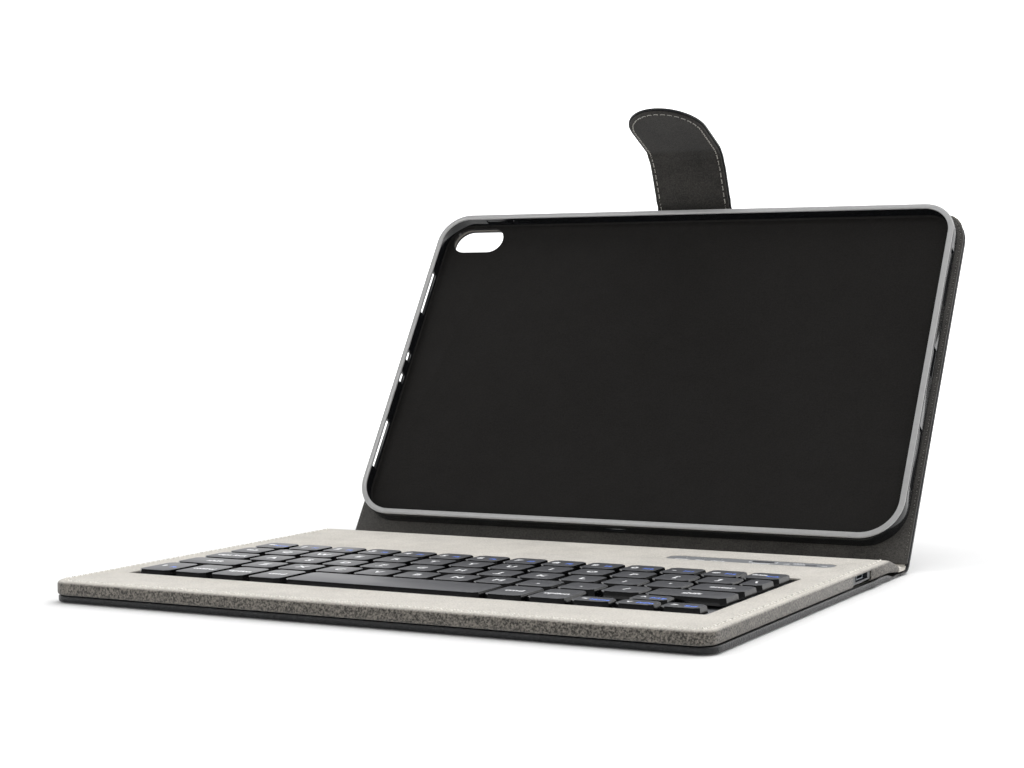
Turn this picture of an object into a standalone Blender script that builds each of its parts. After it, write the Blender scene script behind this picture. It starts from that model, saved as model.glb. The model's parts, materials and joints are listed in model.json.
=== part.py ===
"""Folio case with a built-in keyboard for an 11-inch class tablet.

Frame: metres, +Z up, origin at the centre of the front cover's underside, +Y towards the spine.
The keyboard half lies flat. The back half stands on the spine and leans back with the tablet tray.
"""
import math

import bmesh
import bpy
from mathutils import Vector

MM = 0.001

# ---- driving dimensions, millimetres and degrees ----
DECK_W, DECK_Y0, DECK_Y1 = 261.0, -95.0, 97.5
DECK_Z0, DECK_Z1 = 2.8, 7.9
DECK_SKIN, DECK_WALL = 0.8, 1.4
COVER_W = 260.4
LEATHER_T = 0.9
FOLD_FRONT_Y, FOLD_BACK_Y, FOLD_Z = 98.8, 120.0, 1.0
PANEL_W, PANEL_H, PANEL_R = 262.5, 176.5, 12.0
LEAN = 32.8
TRAY_W, TRAY_Y0, TRAY_H, TRAY_R = 257.6, 7.7, 165.6, 19.0
TRAY_Z0, TRAY_Z1 = 3.4, 12.0
TRAY_FLOOR, TRAY_LIP, TRAY_WALL = 1.3, 2.3, 1.7
WINDOW_X, WINDOW_Y, WINDOW_W, WINDOW_H = -110.4, 162.9, 27.0, 14.0
KEY_X0, KEY_X1, KEY_GAP = -115.5, 113.5, 1.9
KEY_PITCH_Y, KEY_ROW4_Y, KEY_FRONT_Y = 17.6, -39.0, -63.0
KEY_Z0, KEY_Z1 = 6.8, 9.4
WELL = (-118.0, 116.8, -64.6, 30.6)
STRIP = (47.5, 117.0, 63.5, 74.5)
TAB_W, TAB_Y = 37.3, 177.3
TAB_BASE_L, TAB_EDGE_L, TAB_TIP_L = 25.0, 9.0, 38.5
TAB_BASE_A, TAB_EDGE_A, TAB_TIP_A = 56.0, 12.0, 30.0
PORT_Y = 60.5
MAGNET_FROM_END = 18.0

for item in list(bpy.data.objects):
    bpy.data.objects.remove(item, do_unlink=True)

parts = bpy.data.collections.new("tablet_keyboard_case")
cutters = bpy.data.collections.new("cutters")
bpy.context.scene.collection.children.link(parts)
bpy.context.scene.collection.children.link(cutters)


def material(name, color, roughness, metallic=0.0):
    mat = bpy.data.materials.new(name)
    mat.use_nodes = True
    shader = mat.node_tree.nodes["Principled BSDF"]
    shader.inputs["Base Color"].default_value = (*color, 1.0)
    shader.inputs["Roughness"].default_value = roughness
    shader.inputs["Metallic"].default_value = metallic
    return mat


MATERIALS = {
    "pu_leather": material("pu_leather", (0.018, 0.018, 0.02), 0.38),
    "grey_board": material("grey_board", (0.18, 0.17, 0.16), 0.9),
    "beige_lining": material("beige_lining", (0.58, 0.55, 0.5), 0.95),
    "dark_suede": material("dark_suede", (0.05, 0.045, 0.04), 0.95),
    "tray_tpu": material("tray_tpu", (0.012, 0.012, 0.013), 0.3),
    "foam_tape": material("foam_tape", (0.03, 0.03, 0.03), 0.9),
    "key_plastic": material("key_plastic", (0.04, 0.04, 0.043), 0.45),
    "housing_plastic": material("housing_plastic", (0.07, 0.07, 0.075), 0.6),
    "steel": material("steel", (0.55, 0.55, 0.56), 0.35, 1.0),
    "battery_foil": material("battery_foil", (0.5, 0.5, 0.52), 0.4, 0.6),
    "circuit_board": material("circuit_board", (0.02, 0.12, 0.05), 0.5),
    "clear_plastic": material("clear_plastic", (0.8, 0.82, 0.85), 0.2),
    "magnet": material("magnet", (0.4, 0.4, 0.41), 0.4, 1.0),
}


def empty(name, parent=None, location=(0, 0, 0), turn_x=0.0):
    obj = bpy.data.objects.new(name, None)
    parts.objects.link(obj)
    obj.parent = parent
    obj.location = Vector(location) * MM
    obj.rotation_euler = (math.radians(turn_x), 0, 0)
    return obj


def add(name, bm, mat=None, parent=None):
    """Turn a bmesh built in millimetres into an object of the case."""
    bmesh.ops.scale(bm, vec=(MM, MM, MM), verts=bm.verts)
    bmesh.ops.recalc_face_normals(bm, faces=bm.faces)
    mesh = bpy.data.meshes.new(name)
    bm.to_mesh(mesh)
    bm.free()
    obj = bpy.data.objects.new(name, mesh)
    if mat is None:
        cutters.objects.link(obj)
        obj.hide_render = True
        obj.display_type = "WIRE"
    else:
        parts.objects.link(obj)
        mesh.materials.append(MATERIALS[mat])
        mesh.shade_smooth()
        mesh.set_sharp_from_angle(angle=math.radians(30))
    obj.parent = parent
    return obj


def box(x0, x1, y0, y1, z0, z1, radii=(0, 0, 0, 0), seg=5, top=0.0, bottom=0.0):
    """A cube with its upright edges rounded: front left, front right, rear right, rear left."""
    bm = bmesh.new()
    bmesh.ops.create_cube(bm, size=1.0)
    bmesh.ops.scale(bm, vec=(x1 - x0, y1 - y0, z1 - z0), verts=bm.verts)
    bmesh.ops.translate(bm, vec=((x0 + x1) / 2, (y0 + y1) / 2, (z0 + z1) / 2), verts=bm.verts)
    spots = ((x0, y0), (x1, y0), (x1, y1), (x0, y1))
    for (cx, cy), radius in zip(spots, radii):
        if radius <= 0:
            continue
        edges = [
            e for e in bm.edges
            if all(abs(v.co.x - cx) < 1e-4 and abs(v.co.y - cy) < 1e-4 for v in e.verts)
        ]
        bmesh.ops.bevel(bm, geom=edges, offset=radius, segments=seg, profile=0.5, affect="EDGES")
    for level, width in ((z1, top), (z0, bottom)):
        if width <= 0:
            continue
        edges = [e for e in bm.edges if all(abs(v.co.z - level) < 1e-4 for v in e.verts)]
        edges = [e for e in edges if len(e.link_faces) == 2]
        bmesh.ops.bevel(bm, geom=edges, offset=width, segments=2, profile=0.5, affect="EDGES")
    return bm


def disc(x, y, radius, z0, z1, seg=20):
    bm = bmesh.new()
    bmesh.ops.create_cone(
        bm, cap_ends=True, segments=seg, radius1=radius, radius2=radius, depth=z1 - z0)
    bmesh.ops.translate(bm, vec=(x, y, (z0 + z1) / 2), verts=bm.verts)
    return bm


def boolean(obj, tool, operation="DIFFERENCE"):
    mod = obj.modifiers.new(operation.lower(), "BOOLEAN")
    mod.object = tool
    mod.operation = operation
    mod.solver = "EXACT"
    return mod


def cut(obj, *shapes):
    for i, bm in enumerate(shapes):
        boolean(obj, add(f"cut_{obj.name}_{i}", bm, None, obj.parent))


# ---- front cover: leather, board and the catch for the closing tab ----
add("front_cover_leather",
    box(-COVER_W / 2, COVER_W / 2, DECK_Y0 + 0.6, FOLD_FRONT_Y - 0.6, 0.0, LEATHER_T,
        (10, 10, 1, 1), seg=6), "pu_leather")
CATCH_Y = DECK_Y0 - 3.0 + TAB_TIP_L - MAGNET_FROM_END
board = add("front_cover_board",
            box(-128.4, 128.4, DECK_Y0 + 2.2, FOLD_FRONT_Y - 3.8, 1.2, 2.2, (8.5, 8.5, 1, 1)),
            "grey_board")
cut(board, disc(0, CATCH_Y, 6.6, 0.5, 3.0, 24))
add("catch_plate", disc(0, CATCH_Y, 6.2, 1.25, 2.05, 24), "steel")

# ---- keyboard deck: the covered shell and what it holds ----
half = DECK_W / 2
deck = add("deck_wrap",
           box(-half, half, DECK_Y0, DECK_Y1, DECK_Z0, DECK_Z1, (10, 10, 4, 4), seg=6, top=1.3),
           "beige_lining")
inner = half - DECK_WALL
cut(deck,
    box(-inner, inner, DECK_Y0 + DECK_WALL, DECK_Y1 - DECK_WALL, DECK_Z0 - 2, DECK_Z1 - DECK_SKIN,
        (8.6, 8.6, 2.6, 2.6), seg=5),
    box(*WELL, DECK_Z0, DECK_Z1 + 2),
    box(*STRIP, DECK_Z0 + 3, DECK_Z1 + 2, (4, 4, 4, 4), seg=3),
    box(inner - 2, half + 2, PORT_Y - 11.2, PORT_Y + 11.2, DECK_Z0 - 1, DECK_Z1 - DECK_SKIN - 0.2))

add("keyboard_base_plate",
    box(-128.6, 128.6, DECK_Y0 + 1.8, DECK_Y1 - 1.8, 2.9, 3.4, (8.2, 8.2, 2.2, 2.2), seg=4), "steel")
add("key_membrane", box(WELL[0] + 1, WELL[1] - 1, WELL[2] + 1, WELL[3] - 1, 3.7, 4.4), "foam_tape")

housing = add("keyboard_housing",
              box(-128.6, 128.6, DECK_Y0 + 1.8, DECK_Y1 - 1.8, 4.7, 6.8, (8.2, 8.2, 2.2, 2.2), seg=4),
              "housing_plastic")
cut(housing,
    box(WELL[0], WELL[1], WELL[2], WELL[3], 5.5, 8.0),
    box(-109.0, -40.0, 44.0, 87.0, 4.0, 8.0, (2, 2, 2, 2), seg=1),
    box(21.0, 123.0, 51.0, 88.0, 4.0, 8.0, (2, 2, 2, 2), seg=1),
    box(120.0, 130.0, PORT_Y - 11.2, PORT_Y + 11.2, 4.0, 8.0))

add("battery", box(-107.5, -41.5, 45.5, 85.5, 3.7, 6.7, (1.5, 1.5, 1.5, 1.5), seg=2), "battery_foil")
add("controller_board", box(22.5, 122.0, 52.5, 86.5, 3.7, 4.5), "circuit_board")

# ---- charging port on the right edge ----
port_x1 = half - 1.0
port = add("usb_port", box(port_x1 - 5.6, port_x1 - 0.2, PORT_Y - 3.9, PORT_Y + 3.9, 4.8, 6.6,
                           (0, 0, 0, 0)), "steel")
cut(port, box(port_x1 - 4.8, port_x1 + 2, PORT_Y - 3.4, PORT_Y + 3.4, 5.15, 6.25))
bezel = add("port_bezel",
            box(port_x1 - 4.6, half - 0.4, PORT_Y - 10.8, PORT_Y + 10.8, 3.8, 6.6, (0, 0, 0, 0)),
            "housing_plastic")
cut(bezel,
    box(port_x1 - 8, port_x1 + 3, PORT_Y - 4.3, PORT_Y + 4.3, 4.4, 8.0),
    box(port_x1 - 1.6, port_x1 + 3, PORT_Y - 7.5, PORT_Y + 7.5, 4.4, 8.0))

# ---- function strip with its lights, pairing button and power switch ----
sx0, sx1, sy0, sy1 = STRIP
strip = add("indicator_strip",
            box(sx0 + 0.3, sx1 - 0.3, sy0 + 0.3, sy1 - 0.3, 6.95, 7.75, (3.7, 3.7, 3.7, 3.7), seg=3),
            "housing_plastic")
LIGHT_X = (55.0, 62.5, 70.0)
LIGHT_Y = 70.5
BUTTON = (83.0, 92.5, 67.6, 71.0)
SWITCH_SLOT = (100.0, 110.0, 66.8, 69.8)
cut(strip,
    *[disc(x, LIGHT_Y, 1.3, 6.0, 9.0, 12) for x in LIGHT_X],
    box(*BUTTON, 6.0, 9.0, (1, 1, 1, 1), seg=1),
    box(*SWITCH_SLOT, 6.0, 9.0, (0.8, 0.8, 0.8, 0.8), seg=1))
for i, x in enumerate(LIGHT_X):
    add(f"light_pipe_{i + 1}", disc(x, LIGHT_Y, 1.0, 4.8, 7.7, 12), "clear_plastic")
add("pair_button",
    box(BUTTON[0] + 0.3, BUTTON[1] - 0.3, BUTTON[2] + 0.3, BUTTON[3] - 0.3, 5.5, 8.1,
        (0.8, 0.8, 0.8, 0.8), seg=1), "key_plastic")
add("power_switch_knob",
    box(SWITCH_SLOT[0] + 0.4, SWITCH_SLOT[0] + 4.8, SWITCH_SLOT[2] + 0.35, SWITCH_SLOT[3] - 0.35,
        4.9, 8.3), "key_plastic")


# ---- keys: fourteen columns wide, five rows, the front row deeper ----
COLUMN = (KEY_X1 - KEY_X0 + KEY_GAP) / 14
FULL = KEY_X1 - KEY_X0 + KEY_GAP


def row_span(row):
    """Front and rear edge of a row; row 1 is the rearmost and row 5 the front one."""
    if row == 5:
        return KEY_FRONT_Y, KEY_ROW4_Y - KEY_GAP
    y0 = KEY_ROW4_Y + (4 - row) * KEY_PITCH_Y
    return y0, y0 + KEY_PITCH_Y - KEY_GAP


def cap(x0, x1, y0, y1):
    return box(x0, x1, y0, y1, KEY_Z0, KEY_Z1, (1.0, 1.0, 1.0, 1.0), seg=1)


def run_of_keys(row, widths, names):
    """Lay keys of the given widths (in columns) from the left and return their x spans by name."""
    scale = FULL / sum(widths)
    x = KEY_X0
    spans = {}
    for width, name in zip(widths, names):
        spans.setdefault(name, []).append((x, x + width * scale - KEY_GAP))
        x += width * scale
    for name, places in spans.items():
        y0, y1 = row_span(row)
        if len(places) == 1:
            add(name, cap(*places[0], y0, y1), "key_plastic")
            continue
        # a bank: neighbouring caps on one thin web
        web = box(places[0][0] + 2, places[-1][1] - 2, y0 + 5, y1 - 5, KEY_Z0, KEY_Z0 + 0.5)
        bank = add(name, web, "key_plastic")
        for i, (a, b) in enumerate(places):
            boolean(bank, add(f"cap_{name}_{i}", cap(a, b, y0, y1)), "UNION")


run_of_keys(1, [1.0] * 14, ["key_escape"] + ["number_keys"] * 12 + ["key_delete"])
run_of_keys(2, [1.0] + [1.028] * 12 + [0.68], ["key_tab"] + ["upper_letter_keys"] * 12 + ["key_backslash"])
run_of_keys(3, [1.3] + [1.028] * 11 + [1.44], ["key_caps_lock"] + ["home_letter_keys"] * 11 + ["key_enter"])
run_of_keys(4, [1.8] + [1.028] * 10 + [1.97],
            ["key_shift_left"] + ["lower_letter_keys"] * 10 + ["key_shift_right"])

FRONT_ROW = ["key_function", "key_control", "key_option_left", "key_command_left", "key_space",
             "key_command_right", "key_option_right"]
x = KEY_X0
front_y0, front_y1 = row_span(5)
for name in FRONT_ROW:
    columns = 5.0 if name == "key_space" else 1.0
    add(name, cap(x, x + columns * COLUMN - KEY_GAP, front_y0, front_y1), "key_plastic")
    x += columns * COLUMN
ARROW_D = (front_y1 - front_y0 - 1.2) / 2
add("key_arrow_left", cap(x, x + COLUMN - KEY_GAP, front_y0, front_y0 + ARROW_D), "key_plastic")
add("key_arrow_down", cap(x + COLUMN, x + 2 * COLUMN - KEY_GAP, front_y0, front_y0 + ARROW_D), "key_plastic")
add("key_arrow_up", cap(x + COLUMN, x + 2 * COLUMN - KEY_GAP, front_y1 - ARROW_D, front_y1), "key_plastic")
add("key_arrow_right", cap(x + 2 * COLUMN, x + 3 * COLUMN - KEY_GAP, front_y0, front_y0 + ARROW_D),
    "key_plastic")

# ---- spine: a soft strip between two folds, its origin on the front fold ----
spine = empty("spine_fold", None, (0, FOLD_FRONT_Y, FOLD_Z))
SPINE_L = FOLD_BACK_Y - FOLD_FRONT_Y
add("spine_leather", box(-130.8, 130.8, 0.6, SPINE_L - 0.6, -1.0, -0.1), "pu_leather", spine)
add("spine_lining", box(-130.4, 130.4, 1.3, SPINE_L - 1.3, 0.2, 0.8), "beige_lining", spine)

# ---- back cover: built flat along +Y, then turned up about the back fold ----
back = empty("back_fold", None, (0, FOLD_BACK_Y, FOLD_Z), 90.0 - LEAN)
ph = PANEL_W / 2


def window(width, height, z0, z1):
    r = height / 2 - 0.01
    return box(WINDOW_X - width / 2, WINDOW_X + width / 2, WINDOW_Y - height / 2,
               WINDOW_Y + height / 2, z0, z1, (r, r, r, r), seg=6)


leather = add("back_cover_leather",
              box(-ph, ph, 0.6, PANEL_H, -0.95, -0.05, (1, 1, PANEL_R, PANEL_R), seg=6),
              "pu_leather", back)
cut(leather, window(WINDOW_W + 3, WINDOW_H + 3, -3, 2))
stiffener = add("back_cover_board",
                box(-ph + 1.6, ph - 1.6, 2.2, PANEL_H - 1.6, 0.25, 1.15, (1, 1, 10.4, 10.4), seg=6),
                "grey_board", back)
cut(stiffener, window(WINDOW_W + 3, WINDOW_H + 3, -3, 3))
lining = add("back_cover_lining",
             box(-ph + 0.2, ph - 0.2, 1.8, PANEL_H - 0.2, 1.45, 2.05, (1, 1, 11.8, 11.8), seg=6),
             "dark_suede", back)
cut(lining, window(WINDOW_W + 3, WINDOW_H + 3, -1, 4))
tape = add("tray_adhesive", box(-118, 118, 20, 161, 2.35, 3.1, (6, 6, 6, 6), seg=3), "foam_tape", back)
cut(tape, box(WINDOW_X - 22, WINDOW_X + 22, WINDOW_Y - 16, WINDOW_Y + 16, 1, 5))

# ---- tablet tray: outer shell, undercut pocket, windows in its walls ----
tw, ty0, ty1 = TRAY_W / 2, TRAY_Y0, TRAY_Y0 + TRAY_H
tray = add("tray_shell",
           box(-tw, tw, ty0, ty1, TRAY_Z0, TRAY_Z1, (TRAY_R,) * 4, seg=7, top=0.9, bottom=0.9),
           "tray_tpu", back)
lip_r = TRAY_R - TRAY_LIP
wall_r = TRAY_R - TRAY_WALL
WALL_SLOTS_LEFT = ((33.0, 58.5), (79.0, 84.5), (91.0, 96.5), (118.0, 142.0))
WALL_SLOTS_RIGHT = ((33.0, 61.5), (86.5, 100.5), (122.5, 151.0))
PAD_X = (-100.5, -86.5)
PAD_L, PAD_H = 12.0, 3.4
slot_z0, slot_z1 = TRAY_Z0 + 2.6, TRAY_Z1 - 2.0
cut(tray,
    box(-tw + TRAY_LIP, tw - TRAY_LIP, ty0 + TRAY_LIP, ty1 - TRAY_LIP, TRAY_Z0 + TRAY_FLOOR,
        TRAY_Z1 + 2, (lip_r,) * 4, seg=7),
    box(-tw + TRAY_WALL, tw - TRAY_WALL, ty0 + TRAY_WALL, ty1 - TRAY_WALL, TRAY_Z0 + TRAY_FLOOR,
        TRAY_Z1 - 1.1, (wall_r,) * 4, seg=7),
    window(WINDOW_W, WINDOW_H, 0, 8),
    *[box(-tw - 2, -tw + 4, a, b, slot_z0, slot_z1) for a, b in WALL_SLOTS_LEFT],
    *[box(tw - 4, tw + 2, a, b, slot_z0, slot_z1) for a, b in WALL_SLOTS_RIGHT],
    *[box(x - PAD_L / 2, x + PAD_L / 2, ty1 - 4, ty1 + 2, slot_z0, slot_z0 + PAD_H) for x in PAD_X],
    box(-3.2, 7.6, ty0 - 2, ty0 + 4, slot_z0, slot_z0 + 2.2))
for x, name in zip(PAD_X, ("volume_pad_down", "volume_pad_up")):
    add(name, box(x - PAD_L / 2 + 0.3, x + PAD_L / 2 - 0.3, ty1 - TRAY_WALL + 0.3, ty1 + 0.8,
                  slot_z0 + 0.3, slot_z0 + PAD_H - 0.3), "tray_tpu", back)

# ---- closing tab: three segments, each turning about its own crease ----
base_fold = empty("tab_base_fold", back, (0, TAB_Y, 0), TAB_BASE_A)
edge_fold = empty("tab_edge_fold", base_fold, (0, TAB_BASE_L, 0), TAB_EDGE_A)
tip_fold = empty("tab_tip_fold", edge_fold, (0, TAB_EDGE_L, 0), TAB_TIP_A)
t = TAB_W / 2
R_TIP = t - 0.01
add("tab_base_leather", box(-t, t, 0.8, TAB_BASE_L - 0.4, -0.95, -0.05), "pu_leather", base_fold)
add("tab_base_lining", box(-t + 0.3, t - 0.3, 3.2, TAB_BASE_L - 0.9, 0.25, 0.85), "dark_suede", base_fold)
add("tab_edge_leather", box(-t, t, 0.4, TAB_EDGE_L - 0.4, -0.95, -0.05), "pu_leather", edge_fold)
add("tab_edge_lining", box(-t + 0.3, t - 0.3, 1.2, TAB_EDGE_L - 1.8, 0.25, 0.85), "dark_suede", edge_fold)
add("tab_tip_leather",
    box(-t, t, 0.4, TAB_TIP_L, -0.95, -0.05, (0, 0, R_TIP, R_TIP), seg=9), "pu_leather", tip_fold)
filler = add("tab_tip_filler",
             box(-t + 1.5, t - 1.5, 3.5, TAB_TIP_L - 1.5, 0.25, 1.05, (0, 0, R_TIP - 1.5, R_TIP - 1.5),
                 seg=7), "grey_board", tip_fold)
magnet_y = TAB_TIP_L - MAGNET_FROM_END
cut(filler, disc(0, magnet_y, 5.8, -1, 3, 20))
add("tab_magnet", disc(0, magnet_y, 5.5, 0.3, 1.0, 20), "magnet", tip_fold)
add("tab_tip_lining",
    box(-t + 0.3, t - 0.3, 3.5, TAB_TIP_L - 0.3, 1.35, 1.95, (0, 0, R_TIP - 0.3, R_TIP - 0.3), seg=9),
    "dark_suede", tip_fold)
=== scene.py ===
import json
import math

import bmesh
import bpy
from bpy.props import FloatProperty, FloatVectorProperty, PointerProperty
from mathutils import Matrix, Vector


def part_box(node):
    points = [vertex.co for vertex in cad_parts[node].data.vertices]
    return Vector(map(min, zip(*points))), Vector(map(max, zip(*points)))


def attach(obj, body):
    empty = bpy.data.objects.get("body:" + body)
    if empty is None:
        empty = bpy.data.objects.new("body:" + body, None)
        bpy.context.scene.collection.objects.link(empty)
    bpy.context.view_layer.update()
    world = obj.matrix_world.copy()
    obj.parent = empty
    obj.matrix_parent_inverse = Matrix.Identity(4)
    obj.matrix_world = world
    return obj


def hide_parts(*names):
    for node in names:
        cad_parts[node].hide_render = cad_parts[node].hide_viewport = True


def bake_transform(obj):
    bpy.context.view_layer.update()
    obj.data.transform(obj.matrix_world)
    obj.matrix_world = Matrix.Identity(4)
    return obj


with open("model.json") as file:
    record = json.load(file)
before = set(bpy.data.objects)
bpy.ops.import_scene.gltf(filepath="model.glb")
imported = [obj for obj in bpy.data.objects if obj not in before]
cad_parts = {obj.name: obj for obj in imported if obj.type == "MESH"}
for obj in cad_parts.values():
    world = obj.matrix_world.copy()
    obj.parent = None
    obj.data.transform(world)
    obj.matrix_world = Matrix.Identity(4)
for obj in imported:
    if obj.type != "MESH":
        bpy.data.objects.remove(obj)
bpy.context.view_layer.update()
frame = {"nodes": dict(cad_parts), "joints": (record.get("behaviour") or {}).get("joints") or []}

bl_info = {
    "name": "Tablet Keyboard Case",
    "version": (1, 0, 0),
    "blender": (4, 5, 0),
    "location": "View3D > Sidebar > Case",
    "description": "Finished leather, suede, tray and keys for the folio keyboard case",
    "category": "Object",
}

MM = 0.001
BACK_FOLD = 120.0  # the back fold along the run, in millimetres
BACK_SLOPE = 57.2  # rise of the back cover, in degrees
TIP_SLOPE = 155.2  # rise of the tab's tip, in degrees
TOP = 296.5  # end of the back cover along the run
MIDDLE = 109.4  # middle of the spine
HALF = 131.25  # half the back cover's width
TAB_HALF = 18.65  # half the tab's width
TAB_END = 369.8  # end of the tab along the run
THREAD_RISE = 0.2  # how far a stitch stands above what it is sewn to
JOINTS = {joint["name"]: joint for joint in frame["joints"]}


def sight(hex_colour):
    """A hex colour as seen, turned to the linear values that Blender works with."""
    parts = [int(hex_colour[i:i + 2], 16) / 255 for i in (1, 3, 5)]
    return [c / 12.92 if c <= 0.04045 else ((c + 0.055) / 1.055) ** 2.4 for c in parts] + [1.0]


def length(name, description, millimetres):
    return FloatProperty(name=name, description=description, default=millimetres * MM,
                         min=0.0, precision=5, subtype="DISTANCE", unit="LENGTH")


def colour(name, description, hex_colour):
    return FloatVectorProperty(name=name, description=description, default=sight(hex_colour),
                               size=4, min=0.0, max=1.0, subtype="COLOR")


class CaseSizes(bpy.types.PropertyGroup):
    """Sizes of the sewn and moulded details."""
    cover_crease: length("Cover crease", "Bend radius where the back cover stands up", 5.0)
    tab_crease: length("Tab crease", "Bend radius of the closing tab's creases", 6.0)
    lining_edge: length("Lining edge", "Rounding along the keyboard's covered edge", 1.4)
    stitch: length("Stitch", "Length of one stitch", 2.1)
    stitch_pitch: length("Stitch pitch", "Distance from one stitch to the next", 3.2)
    thread: length("Thread", "Thickness of the sewing thread", 0.75)
    cap_chamfer: length("Cap chamfer", "Cut-off corners of the keycaps", 1.9)
    cap_taper: length("Cap taper", "How much a keycap narrows to its top on each side", 0.45)
    letter: length("Letter", "Height of the letters on the keys", 5.4)


class CaseColours(bpy.types.PropertyGroup):
    """Colours of the finishes."""
    lining: colour("Lining", "Suede lining round the keyboard", "#C8C3BA")
    # painted shade: the lining darkened for the keyboard's sides, which stand in shade
    lining_painted_shade: colour("Lining side", "The same suede down the keyboard's sides", "#5A5650")
    suede: colour("Suede", "Dark suede of the back cover and the tab", "#393734")
    leather: colour("Leather", "Coated leather outside", "#0E0F11")
    tray: colour("Tray", "Moulded tray", "#101113")
    tray_floor: colour("Tray floor", "Matt floor of the tray", "#1B1A19")
    # painted highlight: the lip is light grey in place of the bright reflection along the glossy
    # black rim
    lip: colour("Lip", "Satin lip round the tray", "#9A9A9A")
    key: colour("Key", "Tops of the keycaps", "#46474B")
    legend: colour("Legend", "Printed letters", "#E9EAEC")
    second_legend: colour("Second legend", "Printed second functions", "#5F86EE")
    thread: colour("Thread", "Sewing thread", "#F4F1EA")


# ---- the run of the case, and where it lies ----
def fold_places():
    """Each fold as (distance along the case, turn in radians, bend radius), in millimetres."""
    sizes = bpy.context.scene.case_sizes
    spots = [Vector(JOINTS[n]["pos_m"]).yz / MM
             for n in ("back_fold", "tab_base_fold", "tab_edge_fold", "tab_tip_fold")]
    radii = (sizes.cover_crease, sizes.tab_crease, sizes.tab_crease * 2, sizes.tab_crease * 1.6)
    run, slope, folds = spots[0].x, 0.0, []
    for i, spot in enumerate(spots):
        if i:
            run += (spot - spots[i - 1]).length
        ahead = (spots[i + 1] - spot) if i < 3 else None
        new_slope = math.atan2(ahead.y, ahead.x) if ahead else math.radians(TIP_SLOPE)
        folds.append((run, new_slope - slope, radii[i] / MM))
        slope = new_slope
    return folds


def lie(s, n=0.0):
    """Where a point lies, s millimetres along the case and n above its fold line: y, z."""
    y, z, slope, at = 0.0, 1.0, 0.0, 0.0
    for place, turn, radius in FOLDS:
        reach = radius * math.tan(turn / 2)
        if s < place - reach:
            break
        y, z = y + math.cos(slope) * (place - at), z + math.sin(slope) * (place - at)
        at = place
        if s < place + reach:
            y, z = y - math.cos(slope) * reach, z - math.sin(slope) * reach
            y, z = y - math.sin(slope) * radius, z + math.cos(slope) * radius
            slope += turn * (s - place + reach) / (2 * reach)
            off = radius - n
            return y + math.sin(slope) * off, z - math.cos(slope) * off
        slope += turn
    y, z = y + math.cos(slope) * (s - at), z + math.sin(slope) * (s - at)
    return y - math.sin(slope) * n, z + math.cos(slope) * n


def fold(obj):
    """Folds a piece laid out flat as x, run and height into the case's standing shape."""
    for vertex in obj.data.vertices:
        x, s, n = vertex.co / MM
        y, z = lie(s, n)
        vertex.co = Vector((x, y, z)) * MM
    return obj


# ---- hand tools ----
def bare():
    """Object mode with nothing selected."""
    if bpy.context.object and bpy.context.object.mode != "OBJECT":
        bpy.ops.object.mode_set(mode="OBJECT")
    bpy.ops.object.select_all(action="DESELECT")


def edit():
    bpy.ops.object.mode_set(mode="EDIT")


def leave():
    bpy.ops.object.mode_set(mode="OBJECT")


def roll(width, segments, profile=0.5):
    """Rounds the chosen edges."""
    bpy.ops.mesh.bevel(offset=width, segments=segments, profile=profile, affect="EDGES")


def raise_by(height):
    """Extrudes what is chosen straight up, or down if negative."""
    bpy.ops.mesh.extrude_region_move(TRANSFORM_OT_translate={"value": (0, 0, height)})


def take(*objs):
    """Selects just these pieces; the first becomes the active one."""
    bare()
    for obj in objs:
        obj.select_set(True)
    bpy.context.view_layer.objects.active = objs[0]


def settle(name):
    """Names the new piece and puts its place into its mesh."""
    obj = bpy.context.object
    obj.name = obj.data.name = name
    bpy.ops.object.transform_apply(location=True, rotation=True, scale=True)
    return obj


def choose(kind, test):
    """In edit mode, selects just the faces, edges or vertices that pass the test."""
    bpy.ops.mesh.select_mode(type=kind)
    bpy.ops.mesh.select_all(action="DESELECT")
    bm = bmesh.from_edit_mesh(bpy.context.object.data)
    chosen = [i for i in {"FACE": bm.faces, "EDGE": bm.edges, "VERT": bm.verts}[kind] if test(i)]
    for item in chosen:
        item.select_set(True)
    bm.select_flush_mode()
    bmesh.update_edit_mesh(bpy.context.object.data)
    return len(chosen)


def ends(edge, test):
    """Whether both ends of an edge pass the test, in millimetres."""
    return all(test(v.co / MM) for v in edge.verts)


def slab(name, x0, x1, y0, y1, z0, z1, radii=(0, 0, 0, 0), steps=6, top=0.0, bottom=0.0, rolls=3):
    """A block with rounded corners (front left, front right, rear right, rear left) and edges."""
    bare()
    bpy.ops.mesh.primitive_cube_add(
        size=1, location=((x0 + x1) / 2 * MM, (y0 + y1) / 2 * MM, (z0 + z1) / 2 * MM),
        scale=((x1 - x0) * MM, (y1 - y0) * MM, (z1 - z0) * MM))
    obj = settle(name)
    edit()
    for (cx, cy), radius in zip(((x0, y0), (x1, y0), (x1, y1), (x0, y1)), radii):
        if radius and choose("EDGE", lambda e: ends(
                e, lambda c: abs(c.x - cx) < 0.01 and abs(c.y - cy) < 0.01)):
            roll(radius * MM, steps)
    for level, width in ((z1, top), (z0, bottom)):
        if width:
            choose("EDGE", lambda e: ends(e, lambda c: abs(c.z - level) < 0.01))
            roll(width * MM, rolls)
    leave()
    return obj


def slices(obj, axis, places):
    """Cuts new edges through the piece at the given places, so that it can bend there."""
    take(obj)
    edit()
    for place in places:
        bpy.ops.mesh.select_all(action="SELECT")
        spot, normal = Vector((0, 0, 0)), Vector((0, 0, 0))
        spot[axis], normal[axis] = place * MM, 1.0
        bpy.ops.mesh.bisect(plane_co=spot, plane_no=normal)
    leave()


def steps_between(a, b, pitch):
    """Places from a to b, without either, as near the pitch as an even spacing allows."""
    count = max(1, round((b - a) / pitch))
    return [a + (b - a) * i / count for i in range(1, count)]


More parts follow.
